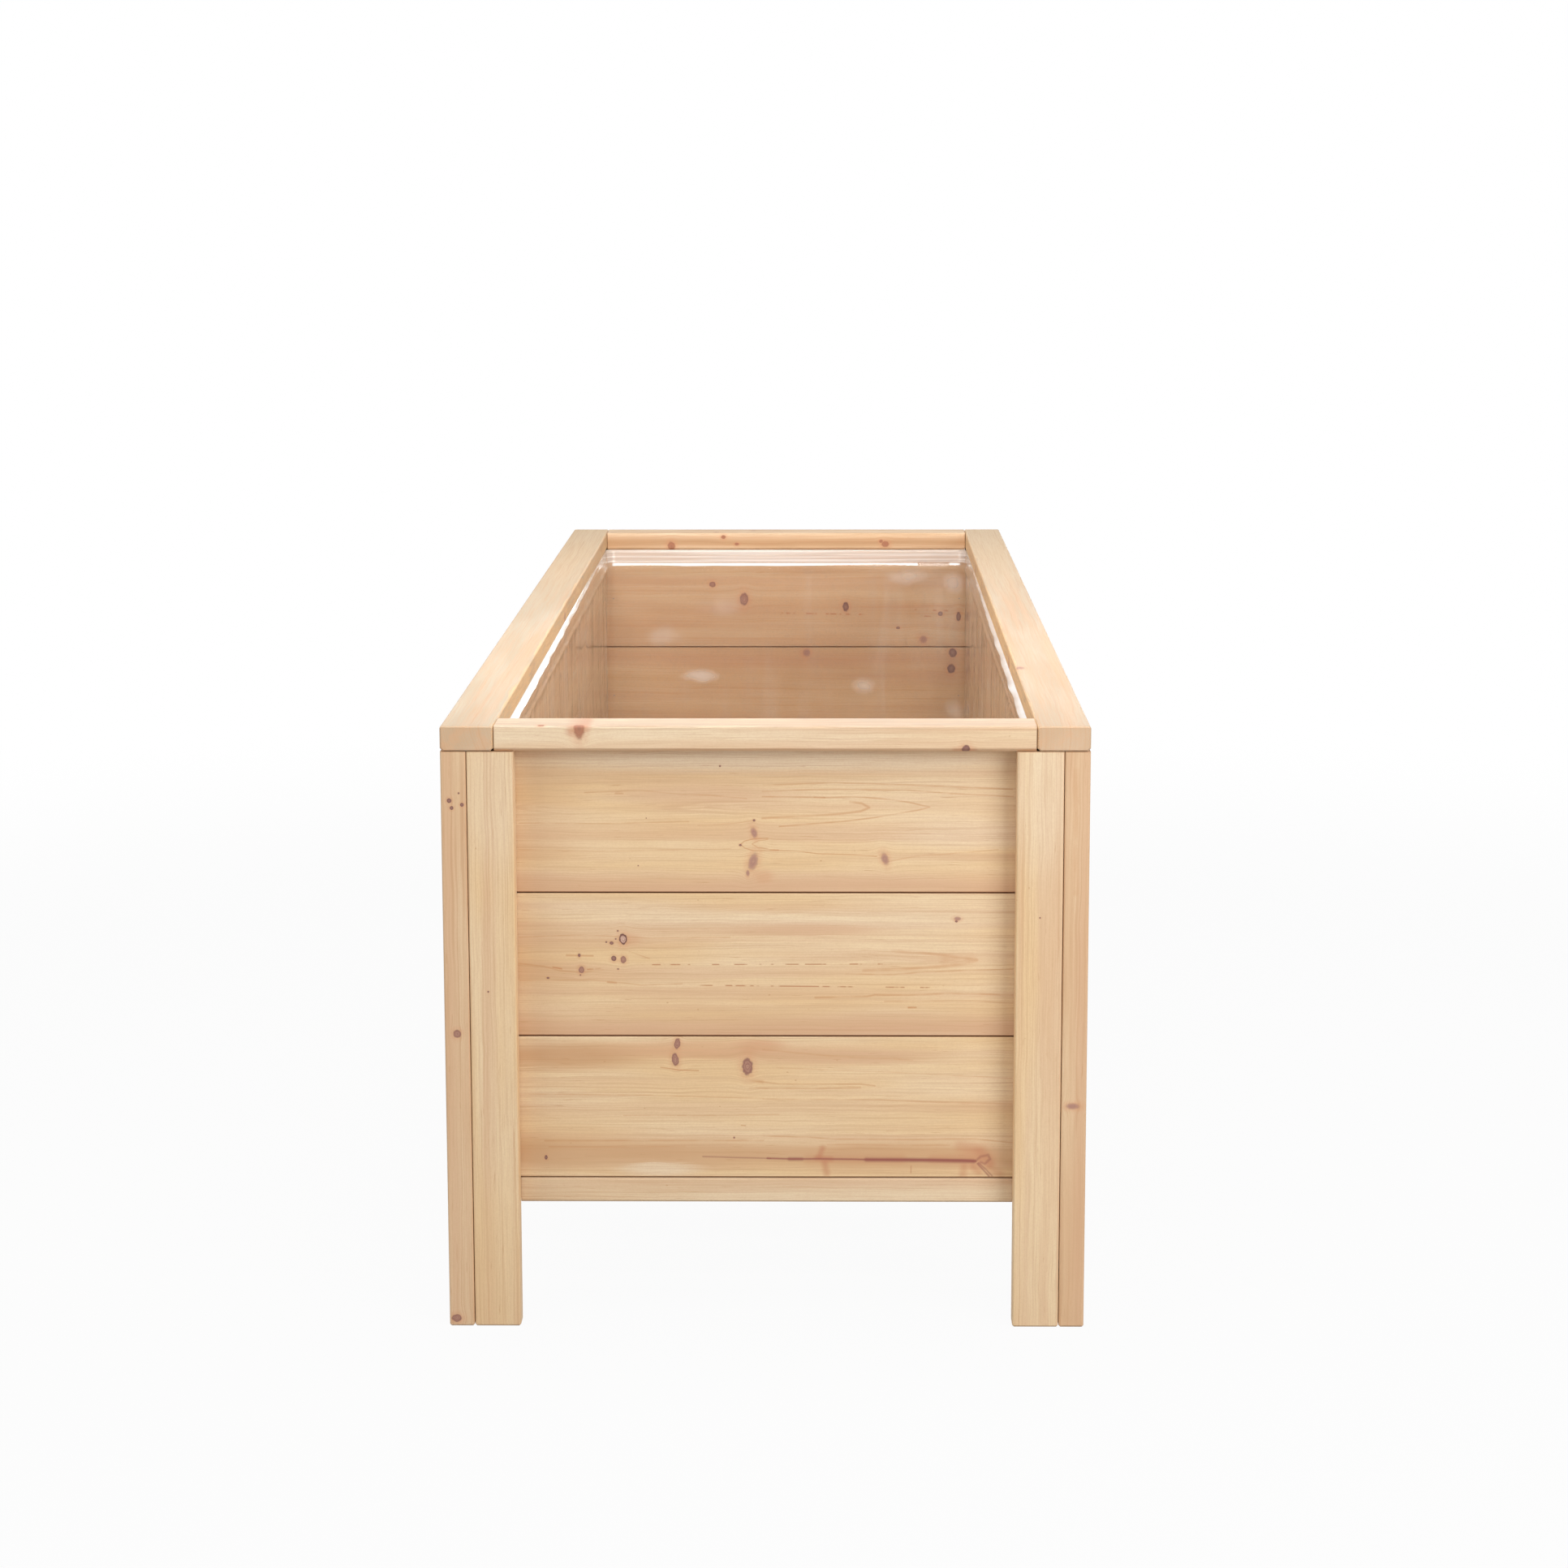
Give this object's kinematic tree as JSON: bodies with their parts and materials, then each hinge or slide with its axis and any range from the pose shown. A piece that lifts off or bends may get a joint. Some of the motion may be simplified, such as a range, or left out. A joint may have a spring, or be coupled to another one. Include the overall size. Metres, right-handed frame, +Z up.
{
  "type": "raised garden bed",
  "caption": "Long open-topped timber planter on corner legs, tongue-and-groove walls, flat rim, slatted floor and clear film liner.",
  "frame": {"origin": "centre of the footprint, at the level of the feet", "axes": "+Z up, +Y along the length of the bed away from the pictured end, +X across the bed to the right"},
  "size_m": [0.61, 1.829, 0.585],
  "materials": {
    "board_wood": "planed knotty softwood, unfinished",
    "leg_wood": "planed softwood, straight grain, unfinished",
    "rim_wood": "planed knotty softwood, unfinished",
    "frame_wood": "planed softwood, unfinished",
    "liner_film": "clear polyethylene film, creased",
    "zinc_steel": "zinc plated"
  },
  "bodies": {
    "root": {"bottom_rail_front": "frame_wood", "bottom_rail_left": "frame_wood", "bottom_rail_rear": "frame_wood", "bottom_rail_right": "frame_wood", "cap_staples": "zinc_steel", "corner_screws": "zinc_steel", "end_board_front_1": "board_wood", "end_board_front_2": "board_wood", "end_board_front_3": "board_wood", "end_board_rear_1": "board_wood", "end_board_rear_2": "board_wood", "end_board_rear_3": "board_wood", "end_wall_brads": "zinc_steel", "floor_slat_01": "frame_wood", "floor_slat_02": "frame_wood", "floor_slat_03": "frame_wood", "floor_slat_04": "frame_wood", "floor_slat_05": "frame_wood", "floor_slat_06": "frame_wood", "floor_slat_07": "frame_wood", "floor_slat_08": "frame_wood", "floor_slat_09": "frame_wood", "floor_slat_10": "frame_wood", "floor_slat_11": "frame_wood", "floor_slat_12": "frame_wood", "floor_slat_13": "frame_wood", "floor_slat_14": "frame_wood", "floor_slat_15": "frame_wood", "leg_end_board_front_left": "leg_wood", "leg_end_board_front_right": "leg_wood", "leg_end_board_rear_left": "leg_wood", "leg_end_board_rear_right": "leg_wood", "leg_side_board_front_left": "leg_wood", "leg_side_board_front_right": "leg_wood", "leg_side_board_rear_left": "leg_wood", "leg_side_board_rear_right": "leg_wood", "liner": "liner_film", "rail_screws": "zinc_steel", "rim_cap_front": "rim_wood", "rim_cap_left": "rim_wood", "rim_cap_rear": "rim_wood", "rim_cap_right": "rim_wood", "side_board_left_1": "board_wood", "side_board_left_2": "board_wood", "side_board_left_3": "board_wood", "side_board_right_1": "board_wood", "side_board_right_2": "board_wood", "side_board_right_3": "board_wood", "side_wall_screws": "zinc_steel", "slat_brads": "zinc_steel"}
  },
  "joints": []
}
